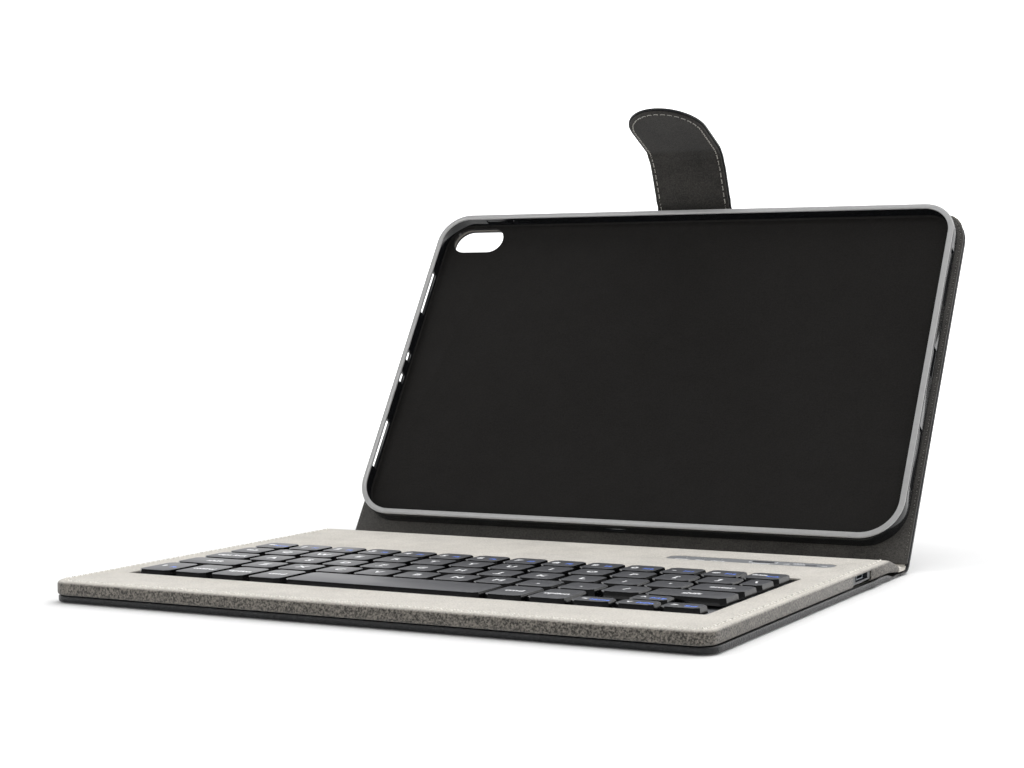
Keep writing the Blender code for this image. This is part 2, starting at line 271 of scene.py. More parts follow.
def work(obj, kind, **settings):
    """Puts one modifier on the piece and applies it."""
    take(obj)
    mod = obj.modifiers.new(kind.lower(), kind)
    for key, value in settings.items():
        setattr(mod, key, value)
    bpy.ops.object.modifier_apply(modifier=mod.name)


def soften(obj, width, degrees):
    """Rounds the piece's edges that are sharper than the angle."""
    work(obj, "BEVEL", width=width * MM, segments=2, limit_method="ANGLE",
         angle_limit=math.radians(degrees))


def room(node):
    """The two corners of a CAD node's box, in millimetres."""
    return [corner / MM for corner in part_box(node)]


def carve(obj, *tools):
    """Cuts the tools' shapes out of the piece."""
    for tool in tools:
        work(obj, "BOOLEAN", object=tool, operation="DIFFERENCE", solver="EXACT")
        bpy.data.meshes.remove(tool.data)


def join(name, pieces):
    """Makes several pieces into one mesh."""
    take(*pieces)
    if len(pieces) > 1:
        bpy.ops.object.join()
    obj = bpy.context.object
    obj.name = obj.data.name = name
    return obj


def smooth(obj, degrees):
    """Shades the piece smooth, but for edges sharper than the angle."""
    take(obj)
    bpy.ops.object.shade_smooth_by_angle(angle=math.radians(degrees))


def seat(obj, finish, body=None, nodes=(), turn=None, degrees=35.0):
    """Gives a piece its finish and the body it goes with; a piece given a pair of bodies and a
    stretch of fold is only fixed in place, with no body.
    """
    smooth(obj, degrees)
    obj.data.materials.clear()
    obj.data.materials.append(FINISH[finish])
    if turn:
        a, b, s0, s1 = turn
        Vector((0, *lie(s0))) * MM
        Vector((0, *lie(s1))) * MM
        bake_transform(obj)
    else:
        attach(obj, body)
    if nodes:
        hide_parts(*nodes)


# ---- finishes ----
def put(mat, kind, feeds=None, stops=None, **settings):
    """Adds one node: its settings, its input values or links, and its ramp's stops."""
    node = mat.node_tree.nodes.new("ShaderNode" + kind)
    for key, value in settings.items():
        setattr(node, key, value)
    for socket, feed in (feeds or {}).items():
        if isinstance(feed, bpy.types.NodeSocket):
            mat.node_tree.links.new(feed, node.inputs[socket])
        else:
            node.inputs[socket].default_value = feed
    for i, (place, value) in enumerate(stops or ()):
        ramp = node.color_ramp
        stop = ramp.elements[i] if i < 2 else ramp.elements.new(place)
        stop.position, stop.color = place, value
    return node


def finish_of(name, **sockets):
    """A fresh material, its shader and the object's own coordinates."""
    mat = bpy.data.materials.get(name)
    if mat:
        bpy.data.materials.remove(mat)
    mat = bpy.data.materials.new(name)
    mat.use_nodes = True
    shader = mat.node_tree.nodes["Principled BSDF"]
    for socket, value in sockets.items():
        shader.inputs[socket.replace("_", " ")].default_value = value
    return mat, shader, put(mat, "TexCoord").outputs["Object"]


def shade(rgba, factor):
    """The same colour, lighter or darker."""
    return [min(1.0, c * factor) for c in rgba[:3]] + [1.0]


def wire(mat, shader, **feeds):
    """Links outputs to the shader's sockets."""
    for socket, feed in feeds.items():
        mat.node_tree.links.new(feed, shader.inputs[socket.replace("_", " ")])
    return mat


def suede(name, tint, side=None, contrast=(0.72, 1.2), sheen=0.25):
    """Microfibre suede, brushed: a short nap that looks chalky, cloudy where it was stroked. Given
    a side colour, the sides below the top edge are painted darker in it, as painted shade.
    """
    mat, shader, at = finish_of(name, Roughness=0.95, Sheen_Weight=sheen, Sheen_Roughness=0.6,
                                Specular_IOR_Level=0.2)
    cloud = put(mat, "TexNoise", {"Vector": at, "Scale": 55.0, "Detail": 4.0, "Roughness": 0.6})
    # the nap's own fibres are finer than can be seen, so it is drawn at 0.6 mm
    nap = put(mat, "TexNoise", {"Vector": at, "Scale": 1500.0, "Detail": 3.0, "Roughness": 0.8})
    both = put(mat, "Math", {0: cloud.outputs[0], 1: 0.25}, operation="MULTIPLY")
    both = put(mat, "Math", {0: nap.outputs[0], 1: 0.75, 2: both.outputs[0]},
               operation="MULTIPLY_ADD")
    ramp = put(mat, "ValToRGB", {"Fac": both.outputs[0]},
               stops=((0.38, shade(tint, contrast[0])), (0.62, shade(tint, contrast[1]))))
    out = ramp.outputs[0]
    if side is not None:
        # painted shade: below the top edge, from 7.8 mm down to 6.9 mm, the keyboard's sides fade
        # into the darker side colour, which carries dark furrows 0.7 mm apart as grain; the rear
        # slope, within the sides, keeps the top's colour
        furrows = put(mat, "TexNoise", {"Vector": at, "Scale": 1500.0, "Detail": 1.5,
                                        "Distortion": 0.4})
        deep = put(mat, "ValToRGB", {"Fac": furrows.outputs[0]},
                   stops=((0.36, shade(side, 0.25)), (0.66, shade(side, 1.8))))
        place = put(mat, "SeparateXYZ", {"Vector": at})
        band = put(mat, "MapRange", {"Value": place.outputs["Z"], "From Min": 6.9 * MM,
                                     "From Max": 7.8 * MM})
        spine = put(mat, "MapRange", {"Value": place.outputs["Y"], "From Min": 95.0 * MM,
                                      "From Max": 97.0 * MM})
        sideways = put(mat, "Math", {0: place.outputs["X"]}, operation="ABSOLUTE")
        within = put(mat, "MapRange", {"Value": sideways.outputs[0], "From Min": 127.0 * MM,
                                       "From Max": 121.0 * MM})
        inside = put(mat, "Math", {0: spine.outputs[0], 1: within.outputs[0]},
                     operation="MULTIPLY")
        most = put(mat, "Math", {0: band.outputs[0], 1: inside.outputs[0]}, operation="MAXIMUM")
        # painted shade: the mask picks the side colour below the top edge and the top's colour
        # above it
        mix = put(mat, "Mix", {0: most.outputs[0], 6: deep.outputs[0], 7: ramp.outputs[0]},
                  data_type="RGBA")
        out = mix.outputs[2]
    bump = put(mat, "Bump", {"Height": nap.outputs[0], "Strength": 0.45, "Distance": 0.25 * MM})
    return wire(mat, shader, Base_Color=out, Normal=bump.outputs[0])


def surface(mat, shader, tint, grain, dark, light, gloss=None, relief=None, invert=False):
    """Wires a finish: colour from a grain, from dark to light as (place on the ramp, factor),
    gloss as (source, low, high) and relief as (source, strength, millimetres)."""
    tone = put(mat, "ValToRGB", {"Fac": grain},
               stops=((dark[0], shade(tint, dark[1])), (light[0], shade(tint, light[1]))))
    feeds = {"Base_Color": tone.outputs[0]}
    if gloss:
        feeds["Roughness"] = put(mat, "MapRange", {
            "Value": gloss[0], "To Min": gloss[1], "To Max": gloss[2]}).outputs[0]
    if relief:
        feeds["Normal"] = put(mat, "Bump", {
            "Height": relief[0], "Strength": relief[1], "Distance": relief[2] * MM},
            invert=invert).outputs[0]
    return wire(mat, shader, **feeds)


def coated_leather(name, tint):
    """Polyurethane-coated split leather, embossed: pebbles of a millimetre and a soft gloss."""
    mat, shader, at = finish_of(name, Specular_IOR_Level=0.3)
    bend = put(mat, "TexNoise", {"Vector": at, "Scale": 260.0, "Detail": 2.0}).outputs[0]
    pebble = put(mat, "TexVoronoi", {"Vector": at, "Scale": 1050.0, "Smoothness": 0.6,
                                     "Randomness": 0.95}, feature="SMOOTH_F1").outputs[0]
    return surface(mat, shader, tint, bend, (0.3, 0.8), (0.75, 1.5), (pebble, 0.25, 0.42),
                   (pebble, 0.6, 0.25), invert=True)


def moulded(name, tint, rough, grain=900.0, depth=0.05, uneven=0.25, **sockets):
    """Injection-moulded plastic: one colour with faint flow marks and the mould's fine texture."""
    mat, shader, at = finish_of(name, **sockets)
    flow = put(mat, "TexNoise", {"Vector": at, "Scale": 70.0, "Detail": 2.0}).outputs[0]
    skin = put(mat, "TexNoise", {"Vector": at, "Scale": grain, "Detail": 3.0,
                                 "Roughness": 0.6}).outputs[0]
    return surface(mat, shader, tint, skin, (0.3, 1 - uneven), (0.7, 1 + uneven),
                   (flow, rough * 0.85, rough * 1.15), (skin, 0.3, depth))


def ribbed_housing(name, tint):
    """Moulded ABS bed of the keys: fine ribs 1.6 mm apart beside the keys, in relief, with painted
    highlight and shade in light and dark bands.
    """
    mat, shader, at = finish_of(name, Specular_IOR_Level=0.5)
    ribs = put(mat, "TexWave", {"Vector": at, "Scale": 2 * math.pi / (20 * 1.6 * MM)},
               wave_type="BANDS", bands_direction="Y").outputs[1]
    skin = put(mat, "TexNoise", {"Vector": at, "Scale": 900.0, "Detail": 3.0}).outputs[0]
    # painted highlight and shade: the ribs' bands are coloured light and dark
    return surface(mat, shader, tint, ribs, (0.35, 0.35), (0.65, 1.3), (skin, 0.4, 0.6),
                   (ribs, 0.7, 0.4))


def sheet_metal(name, tint, rough, along=1):
    """Cold-rolled and plated steel: a bright surface with fine rolling lines one way."""
    mat, shader, at = finish_of(name, Metallic=1.0)
    # the grain is drawn out thirty times along the rolling direction
    spread = put(mat, "Mapping", {"Vector": at, "Scale": (1, 30, 30) if along else (30, 1, 30)})
    lines = put(mat, "TexNoise", {"Vector": spread.outputs[0], "Scale": 120.0,
                                  "Detail": 4.0}).outputs[0]
    return surface(mat, shader, tint, lines, (0.3, 0.75), (0.7, 1.1),
                   (lines, rough * 0.7, rough * 1.3), (lines, 0.1, 0.02))


def pressed_board(name, tint):
    """Grey board, pressed from waste paper: flecks of fibre and a dry, dull face."""
    mat, shader, at = finish_of(name, Specular_IOR_Level=0.2, Roughness=0.95)
    fleck = put(mat, "TexNoise", {"Vector": at, "Scale": 700.0, "Detail": 5.0,
                                  "Roughness": 0.75}).outputs[0]
    return surface(mat, shader, tint, fleck, (0.3, 0.6), (0.7, 1.25), relief=(fleck, 0.4, 0.1))


def foam(name, tint):
    """Closed-cell polyethylene foam tape: round cells half a millimetre wide, quite dull."""
    mat, shader, at = finish_of(name, Roughness=0.9, Specular_IOR_Level=0.3)
    cells = put(mat, "TexVoronoi", {"Vector": at, "Scale": 1800.0}).outputs[0]
    return surface(mat, shader, tint, cells, (0.1, 1.4), (0.7, 0.6), relief=(cells, 0.5, 0.15))


def etched_board(name):
    """Glass-epoxy circuit board under solder resist: darker green with paler buried tracks."""
    mat, shader, at = finish_of(name, Roughness=0.35, Coat_Weight=0.4, Coat_Roughness=0.2)
    tracks = put(mat, "TexBrick", {
        "Vector": at, "Scale": 180.0, "Mortar Size": 0.03, "Color1": sight("#1D5A35"),
        "Color2": sight("#1A5230"), "Mortar": sight("#3B8657")})
    bump = put(mat, "Bump", {"Height": tracks.outputs[1], "Strength": 0.3, "Distance": 0.05 * MM})
    return wire(mat, shader, Base_Color=tracks.outputs[0], Normal=bump.outputs[0])


def twisted_thread(name, tint):
    """Bonded polyester sewing thread: three plies twisted, seen as slanting stripes."""
    mat, shader, at = finish_of(name, Roughness=0.6, Sheen_Weight=0.3)
    plies = put(mat, "TexWave", {"Vector": at, "Scale": 500.0, "Distortion": 1.0},
                bands_direction="DIAGONAL").outputs[1]
    return surface(mat, shader, tint, plies, (0.0, 0.72), (0.8, 1.05), relief=(plies, 0.3, 0.1))


def printed_ink(name, tint):
    """Screen-printed ink: even, slightly grainy and a little duller than the plastic."""
    mat, shader, at = finish_of(name, Roughness=0.55)
    grain = put(mat, "TexNoise", {"Vector": at, "Scale": 2500.0, "Detail": 2.0}).outputs[0]
    return surface(mat, shader, tint, grain, (0.2, 0.85), (0.6, 1.0))


def clear_acrylic(name):
    """Moulded acrylic light pipe: glassy, with a frosted end that looks milky when unlit."""
    mat, shader, at = finish_of(name, Transmission_Weight=0.6, IOR=1.49)
    frost = put(mat, "TexNoise", {"Vector": at, "Scale": 1500.0, "Detail": 2.0})
    dull = put(mat, "MapRange", {"Value": frost.outputs[0], "To Min": 0.15, "To Max": 0.4})
    tone = put(mat, "ValToRGB", {"Fac": frost.outputs[0]},
               stops=((0.2, sight("#D5DADD")), (0.8, sight("#F2F4F5"))))
    return wire(mat, shader, Base_Color=tone.outputs[0], Roughness=dull.outputs[0])


FINISH = {}


def make_finishes():
    """Every finish, in the colours of the property group."""
    c = bpy.context.scene.case_colours
    FINISH.update(
        # the keyboard lining is painted with shade down its sides
        lining=suede("microfibre_suede_beige", c.lining, c.lining_painted_shade),
        spine=suede("microfibre_suede_spine", c.lining),
        suede=suede("microfibre_suede_dark", c.suede, contrast=(0.4, 1.65)),
        # painted shade: the tab's suede is the dark suede darkened to 0.62, for its shaded face
        tab_suede=suede("microfibre_suede_tab_shaded", shade(c.suede, 0.62), contrast=(0.4, 1.65),
                        sheen=0.1),
        leather=coated_leather("coated_leather_black", c.leather),
        tray=moulded("tpu_gloss_black", c.tray, 0.16, depth=0.02, IOR=1.45, Coat_Weight=0.15,
                     Coat_Roughness=0.08, Specular_IOR_Level=0.38),
        tray_floor=moulded("tpu_matt_floor", c.tray_floor, 0.7, grain=1600.0, depth=0.1,
                           Specular_IOR_Level=0.08),
        # painted highlight: light grey in place of the rim's reflection
        lip=moulded("tpu_lip_painted_highlight", c.lip, 0.32, grain=700.0, depth=0.02, uneven=0.05,
                    Coat_Weight=0.3, Coat_Roughness=0.15),
        key=moulded("abs_satin_keytop", c.key, 0.45, grain=1800.0, depth=0.04, uneven=0.08,
                    IOR=1.5, Specular_IOR_Level=0.38),
        key_side=moulded("abs_gloss_keyside", sight("#050506"), 0.16, depth=0.01, uneven=0.1,
                         IOR=1.45, Specular_IOR_Level=0.3),
        housing=ribbed_housing("abs_ribbed_bed", sight("#77787B")),
        strip=moulded("abs_satin_strip", sight("#85878B"), 0.45, grain=1500.0, uneven=0.1),
        bezel=moulded("abs_bezel", sight("#2A2C30"), 0.3, uneven=0.15),
        control=moulded("abs_controls", sight("#B9BBBE"), 0.35, uneven=0.08),
        steel=sheet_metal("plated_steel", sight("#B7B8BA"), 0.3),
        socket=sheet_metal("nickel_plated_socket", sight("#7B828B"), 0.3),
        foil=sheet_metal("battery_foil_laminate", sight("#9DA0A6"), 0.4, along=0),
        magnet=sheet_metal("nickel_plated_magnet", sight("#C9CACC"), 0.2),
        board=pressed_board("pressed_grey_board", sight("#77736C")),
        foam=foam("foam_tape", sight("#2C2C2D")),
        circuit=etched_board("etched_circuit_board"),
        thread=twisted_thread("bonded_thread_pale", c.thread),
        dark_thread=twisted_thread("bonded_thread_grey", sight("#A9A69E")),
        legend=printed_ink("ink_white", c.legend),
        second=printed_ink("ink_blue", c.second_legend),
        acrylic=clear_acrylic("acrylic_light_pipe"))


# ---- shapes that several pieces share ----
def pill(name, grow, z0, z1):
    """The opening for the camera, grown by a margin on every side."""
    x, s, w, h = -110.4, BACK_FOLD + 162.9, 27.0 + 2 * grow, 14.0 + 2 * grow
    r = h / 2 - 0.02
    return slab(name, x - w / 2, x + w / 2, s - h / 2, s + h / 2, z0, z1, (r, r, r, r), steps=8)


def pan(name, x, s0, s1, radii, rim, height):
    """A leather skin turned up round its edge, as it is over the board inside."""
    low, skin = -1.0, 0.9
    obj = slab(name, -x, x, s0, s1, low, height, radii, 8, top=0.5, bottom=0.85)
    edit()
    choose("FACE", lambda f: f.normal.z > 0.9 and f.calc_area() > 1e-3)
    bpy.ops.mesh.inset(thickness=rim * MM)
    raise_by((low + skin - height) * MM)
    leave()
    return obj


def thin(vertex, fade):
    """Lowers a leather's turned-up edge where it runs into the spine, fully at 1."""
    fade, n = min(1.0, max(0.0, fade)), vertex.co.z / MM
    if n > -0.1:
        vertex.co.z = (n * (1 - fade) - 0.1 * fade) * MM


def round_path(x0, x1, y0, y1, radii):
    """Points along a rectangle with rounded corners, anticlockwise from its front left."""
    points = []
    corners = ((x0, y0, 180), (x1, y0, 270), (x1, y1, 0), (x0, y1, 90))
    for (cx, cy, start), r in zip(corners, radii):
        mx = cx + r if cx == x0 else cx - r
        my = cy + r if cy == y0 else cy - r
        for i in range(13):
            a = math.radians(start + 90 * i / 12)
            points.append(Vector((mx + r * math.cos(a), my + r * math.sin(a))))
    return points + [points[0].copy()]


def seam(name, path, height, side=1, skip=None, stout=1.0):
    """A row of stitches laid along a path of points at one height, as one mesh."""
    sizes = bpy.context.scene.case_sizes
    bare()
    bpy.ops.mesh.primitive_cylinder_add(vertices=6, radius=sizes.thread / 2 * stout,
                                        depth=sizes.stitch, rotation=(0, math.pi / 2, 0))
    master = settle("stitch")
    edit()
    choose("FACE", lambda f: abs(f.normal.x) > 0.9)
    bpy.ops.mesh.inset(thickness=0.0)
    bpy.ops.mesh.extrude_region_shrink_fatten(TRANSFORM_OT_shrink_fatten={"value": -0.1 * MM})
    choose("VERT", lambda v: abs(v.co.x) > sizes.stitch / 2 - 0.02 * MM)
    bpy.ops.transform.resize(value=(1, 0.55, 0.55))
    bpy.ops.transform.translate(value=(0, 0, -0.18 * MM))
    leave()
    lengths = [0.0]
    for a, b in zip(path, path[1:]):
        lengths.append(lengths[-1] + (b - a).length)
    count = int(lengths[-1] / (sizes.stitch_pitch / MM))
    bm = bmesh.new()
    at = 0
    for i in range(count):
        d = (i + 0.5) * lengths[-1] / count
        while lengths[at + 1] < d:
            at += 1
        along = (path[at + 1] - path[at]).normalized()
        spot = path[at] + along * (d - lengths[at])
        if skip and skip(spot):
            continue
        wobble = 0.035 * math.sin(i * 2.39)
        place = Matrix.Translation(Vector((spot.x, spot.y, height)) * MM) @ Matrix.Rotation(
            math.atan2(along.y, along.x) + wobble, 4, "Z") @ Matrix.Scale(side, 4, (0, 0, 1))
        before = len(bm.verts)
        bm.from_mesh(master.data)
        bm.verts.ensure_lookup_table()
        bmesh.ops.transform(bm, matrix=place, verts=bm.verts[before:])
    mesh = bpy.data.meshes.new(name)
    bmesh.ops.recalc_face_normals(bm, faces=bm.faces)
    bm.to_mesh(mesh)
    bm.free()
    bpy.data.meshes.remove(master.data)
    obj = bpy.data.objects.new(name, mesh)
    bpy.context.scene.collection.objects.link(obj)
    return obj


def ramp_height(s):
    """Height of the lining's top, in millimetres, as it slopes from the keyboard to the fold."""
    start, end = 94.5, 119.5
    t = min(1.0, max(0.0, (s - start) / (end - start)))
    return 7.9 - 6.0 * (0.35 * t + 0.65 * t * t * (3 - 2 * t))


class PieceOperator:
    """What all the case's operators share."""
    bl_options = {"REGISTER", "UNDO"}

    def execute(self, context):
        if not FINISH:
            FOLDS.extend(fold_places())
            make_finishes()
        self.build(context)
        bare()
        return {"FINISHED"}


class CASE_OT_stage(PieceOperator, bpy.types.Operator):
    """Lay the pale floor, hang the soft lights and stand the camera"""
    bl_idname = "case.stage"
    bl_label = "Stage"

    def build(self, context):
        mat, shader, at = finish_of("white_paper_sweep", Roughness=0.9, Specular_IOR_Level=0.1)
        grain = put(mat, "TexNoise", {"Vector": at, "Scale": 40.0, "Detail": 2.0})
        tone = put(mat, "ValToRGB", {"Fac": grain.outputs[0]},
                   stops=((0.3, [0.83, 0.83, 0.83, 1]), (0.7, [0.85, 0.85, 0.85, 1])))
        shader.inputs["Emission Color"].default_value = (1, 1, 1, 1)
        reach = put(mat, "VectorMath", {0: at}, operation="LENGTH")
        glow = put(mat, "MapRange", {"Value": reach.outputs["Value"], "From Min": 0.3,
                                     "From Max": 1.0, "To Min": 0.06, "To Max": 0.9})
        wire(mat, shader, Base_Color=tone.outputs[0], Emission_Strength=glow.outputs[0])
        context.scene.view_settings.view_transform = "Standard"
        bare()
        reach_m, near = 7.0, 6.9  # the paper's half width; past near is its edge
        bpy.ops.mesh.primitive_plane_add(size=2 * reach_m, location=(0, 0, -0.3 * MM))
        sweep = settle("paper_sweep")
        edit()
        choose("EDGE", lambda e: all(v.co.y > near for v in e.verts))
        raise_by(reach_m)
        choose("EDGE", lambda e: all(v.co.y > near and v.co.z < 0.1 for v in e.verts))
        roll(3.0, 16)
        for axis, side in ((0, -1), (0, 1), (1, -1)):
            choose("EDGE", lambda e: all(
                v.co[axis] * side > near and v.co.z < 0.1 for v in e.verts))
            raise_by(2)
        leave()
        smooth(sweep, 60)
        sweep.data.materials.append(mat)
        for name, place, aim, size, power in (
                ("key_light", (0.2, 0.7, 1.7), (0, 0.05, 0), 1.8, 24.5),
                ("left_light", (-0.64, -0.66, 1.13), (0, 0.12, 0.03), 0.4, 2.2),
                ("right_light", (1.6, 0.2, 0.9), (0, 0.1, 0.08), 0.9, 3.0)):
            bpy.ops.object.light_add(type="AREA", location=place)
            light = context.object
            light.name = name
            light.data.energy, light.data.size = power, size
            light.rotation_euler = (Vector(aim) - Vector(place)).to_track_quat("-Z", "Y").to_euler()
        world = bpy.data.worlds.new("studio")
        world.use_nodes = True
        sky = world.node_tree.nodes["Background"].inputs
        sky["Color"].default_value = (1, 1, 1, 1)
        sky["Strength"].default_value = 0.48
        context.scene.world = world
        bpy.ops.object.camera_add(location=(0.35822, -0.67331, 0.10985),
                                  rotation=(math.radians(90 - 2.323), math.radians(0.17),
                                            math.radians(27.155)))
        camera = context.object
        camera.name = "camera"
        camera.data.lens, camera.data.sensor_width = 70.65, 36.0
        camera.data.clip_start = 0.01
        context.scene.camera = camera


class CASE_OT_covers(PieceOperator, bpy.types.Operator):
    """Wrap the front cover, the spine and the back cover in coated leather"""
    bl_idname = "case.covers"
    bl_label = "Leather covers"

    def build(self, context):
        front = pan("front_leather", 130.5, -94.7, MIDDLE, (6.5, 6.5, 0, 0), 1.3, 1.5)
        front.data.transform(Matrix.Translation((0.5 * MM, 0, 0)))
        slices(front, 1, steps_between(-90, 92, 5) + steps_between(91, MIDDLE, 1.5))
        for v in front.data.vertices:
            x, s = v.co.xy / MM
            thin(v, (s - 92.0) / 8.0)
            if abs(x) > 126 and s > 40:
                # the loose edge beside the socket waves where it was turned over
                swell = math.exp(-((s - 74.0) / 9.0) ** 2)
                v.co.x += math.copysign(0.5 * swell + 0.12 * math.sin(s * 0.55), x) * MM
                v.co.z += max(0.0, 0.35 * math.sin((s - 78) * 0.3)) * MM * (s > 78) * (s < 108)
        seat(fold(front), "leather",
             nodes=("front_cover_leather", "spine_leather"),
             turn=("keyboard_half", "spine", 95.8, 101.8))
        back = pan("back_leather", HALF, MIDDLE, TOP, (0, 0, 17, 17), 1.1, 1.35)
        carve(back, pill("hole", 1.5, -4, 4))
        slices(back, 1, steps_between(MIDDLE, 126, 1.4) + steps_between(126, 290, 8))
        for v in back.data.vertices:
            thin(v, (123.0 - v.co.y / MM) / 6.0)
        seat(fold(back), "leather", nodes=("back_cover_leather",),
             turn=("spine", "back_half", 114.5, 125.5))
        lining = slab("back_lining", -HALF + 0.45, HALF - 0.45, 121.4, TOP - 0.4, 1.42, 2.05,
                      (1, 1, 16.5, 16.5), steps=8, top=0.3, rolls=2)
        carve(lining, pill("hole", 1.5, -4, 4))
        slices(lining, 1, steps_between(121.4, 128, 1.2))
        seat(fold(lining), "suede", "back_half", ("back_cover_lining",))


class CASE_OT_lining(PieceOperator, bpy.types.Operator):
    """Cover the keyboard's housing and the spine in pale suede"""
    bl_idname = "case.lining"
    bl_label = "Keyboard lining"

    def build(self, context):
        sizes = context.scene.case_sizes
        edge = sizes.lining_edge / MM
        top = slab("keyboard_lining", -130.5, 130.5, -95.0, MIDDLE, 2.75, 7.9, (7, 7, 0, 0),
                   steps=10, top=edge, bottom=0.9, rolls=5)
        slices(top, 1, steps_between(93.5, MIDDLE, 1.1))
        for v in top.data.vertices:
            x, y, z = v.co / MM
            if y > 94.5:
                drop = 7.9 - ramp_height(y)
                if z > 5.0:
                    v.co.z -= drop * MM
                elif y > 96.5:
                    v.co.z -= (y - 96.5) * 0.1 * MM
        port, port_half = 60.5, 11.2
        carve(top,
              slab("hollow", -129.1, 129.1, -93.6, 96.1, 0.5, 7.05, (5.6, 5.6, 2, 2)),
              slab("well", -118.0, 116.8, -64.6, 30.6, 5, 10, (0.8,) * 4, steps=3),
              slab("strip_gap", 47.5, 117.0, 63.5, 74.5, 5, 10, (4,) * 4),
              slab("notch", 127.0, 134.0, port - port_half, port + port_half, 1, 6.8))
        soften(top, 0.3, 50)
        top.data.transform(Matrix.Translation((0, 0, -1.0 * MM)))
        seat(fold(top), "lining", nodes=("deck_wrap", "spine_lining"),
             turn=("keyboard_half", "spine", 96.5, 103.5))
        rest = slab("spine_lining_rear", -130.2, 130.2, MIDDLE, 122.0, 0.0, 1.0, top=0.3)
        slices(rest, 1, steps_between(MIDDLE, 122.0, 0.9))
        for v in rest.data.vertices:
            x, s, n = v.co / MM
            v.co.z = (ramp_height(s) - 1.0 if n > 0.5 else 0.46 - (s - MIDDLE) * 0.02) * MM
        seat(fold(rest), "spine", nodes=("spine_lining",),
             turn=("spine", "back_half", 114.5, 125.5))


class CASE_OT_tray(PieceOperator, bpy.types.Operator):
    """Mould the tablet tray with its lip, undercut pocket and openings"""
    bl_idname = "case.tray"
    bl_label = "Tablet tray"

    def build(self, context):
        w, s0, s1 = 128.8, 127.7, 293.3
        corners = (18, 18, 15, 15)
        tray = slab("tray", -w, w, s0, s1, 3.4, 11.55, corners, steps=14, top=0.8, bottom=1.0)
        edit()
        choose("FACE", lambda f: f.normal.z > 0.99 and f.calc_area() > 1e-3)
        bpy.ops.mesh.inset(thickness=1.5 * MM)
        raise_by(-0.7 * MM)
        middle = Vector((0, (s0 + s1) / 2 * MM, 0))
        # down past the lip, out into the undercut, down the wall and in to the floor
        for down, wide, deep in ((-0.5, 253.8 / 252.8, 161.8 / 160.8), (-5.05, 1.0, 1.0),
                                 (-0.55, 252.6 / 253.8, 160.6 / 161.8)):
            raise_by(down * MM)
            bpy.ops.transform.resize(value=(wide, deep, 1), center_override=middle)
        leave()
        low, high = 6.0, 10.0
        pads = (("volume_down", -100.5), ("volume_up", -86.5))
        cuts = [slab("gap", -w - 2, -w + 4, BACK_FOLD + a, BACK_FOLD + b, low, high)
                for a, b in ((33, 58.5), (79, 84.5), (91, 96.5), (118, 142))]
        cuts += [slab("gap", w - 4, w + 2, BACK_FOLD + a, BACK_FOLD + b, low, high)
                 for a, b in ((33, 61.5), (86.5, 100.5), (122.5, 151))]
        cuts += [slab("gap", x - 6, x + 6, s1 - 4, s1 + 2, low, low + 3.4) for _, x in pads]
        cuts.append(slab("gap", -3.2, 7.6, s0 - 2, s0 + 4, low, low + 2.2))
        carve(tray, pill("camera_gap", 0.0, 1, 9), *cuts)
        soften(tray, 0.25, 60)
        seat(fold(tray), "tray", "back_half", ("tray_shell",))
        tray.data.materials.append(FINISH["tray_floor"])
        slope = math.radians(BACK_SLOPE)
        for face in tray.data.polygons:
            # back from where the face stands to its place along the run and its height
            y, z = face.center.y / MM - BACK_FOLD, face.center.z / MM - 1.0
            n = -y * math.sin(slope) + z * math.cos(slope)
            s = y * math.cos(slope) + z * math.sin(slope)
            if 4.0 < n < 5.4 and abs(face.center.x) < 127 * MM and 9 < s < 172:
                face.material_index = 1
        outer, inner = 0.05, 2.5
        lip = slab("tray_lip", -w + outer, w - outer, s0 + outer, s1 - outer, 11.2, 12.0,
                   [c - outer for c in corners], steps=14, top=0.5)
        carve(lip, slab("inside", -w + inner, w - inner, s0 + inner, s1 - inner, 8, 14,
                        [c - inner for c in corners], steps=14))
        soften(lip, 0.2, 60)
        seat(fold(lip), "lip", "back_half")
        for body, x in pads:
            node = body.replace("_", "_pad_")
            pad = slab(node + "_cap", x - 5.6, x + 5.6, s1 - 1.4, s1 + 0.8, 6.35, 9.05)
            work(pad, "BEVEL", width=0.6 * MM, segments=3)
            seat(fold(pad), "tray", body, (node,))


def tab_parts():
    """The tab's segments: name, start and end along the run, and the fold each runs over, as two
    bodies and a stretch of the run.
    """
    base, edge, tip = (f[0] for f in FOLDS[1:])
    return (("base", TOP - 0.6, 309.8, ("back_half", "tab_base", base - 4, base + 4)),
            ("edge", 309.8, 327.0, ("tab_base", "tab_edge", edge - 3, edge + 3)),
            ("tip", 327.0, TAB_END, ("tab_edge", "tab_tip", tip - 3, tip + 3)))


